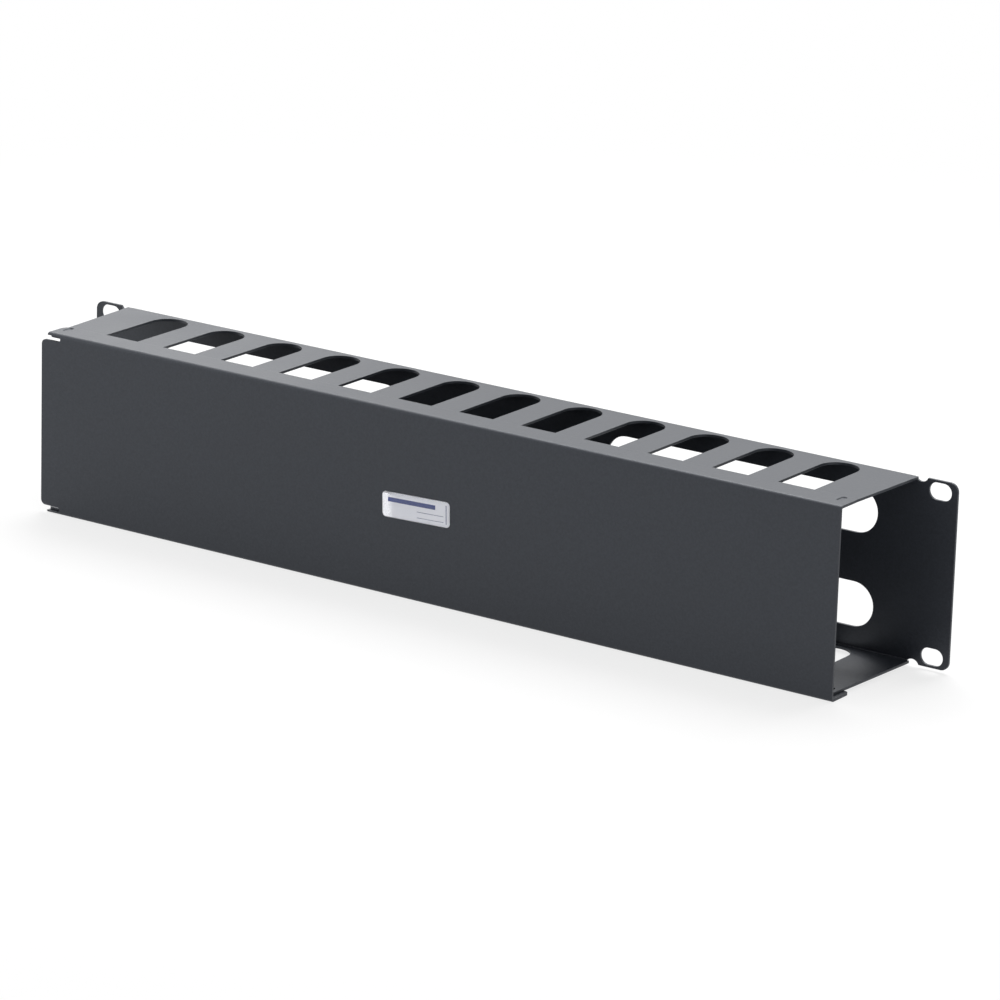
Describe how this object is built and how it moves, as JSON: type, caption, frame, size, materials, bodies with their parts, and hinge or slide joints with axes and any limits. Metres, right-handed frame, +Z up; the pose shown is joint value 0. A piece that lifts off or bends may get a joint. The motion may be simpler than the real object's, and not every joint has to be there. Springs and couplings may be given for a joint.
{
  "type": "horizontal cable manager",
  "caption": "Horizontal rack cable manager: a folded sheet channel with slotted flanges, cable windows and rack ears, closed by a clip-on front cover.",
  "frame": {"origin": "centre of the rear mounting face, between the four rack holes", "axes": "+X along the manager, -Y out of the cover towards the user, +Y into the rack, +Z up"},
  "size_m": [0.4826, 0.0687, 0.0888],
  "materials": {
    "powder_coat": "fine-texture dark grey powder coat on folded sheet steel",
    "label_film": "silver-white printed vinyl film",
    "label_dome": "clear domed resin, glossy"
  },
  "bodies": {
    "channel": {"channel_body": "powder_coat"},
    "cover": {"front_cover": "powder_coat", "label_film": "label_film", "label_dome": "label_dome"}
  },
  "joints": [
    {"name": "cover_pull", "type": "slide", "parent": "channel", "child": "cover", "axis": [0, -1, 0], "range_m": [0, 0.04]}
  ]
}
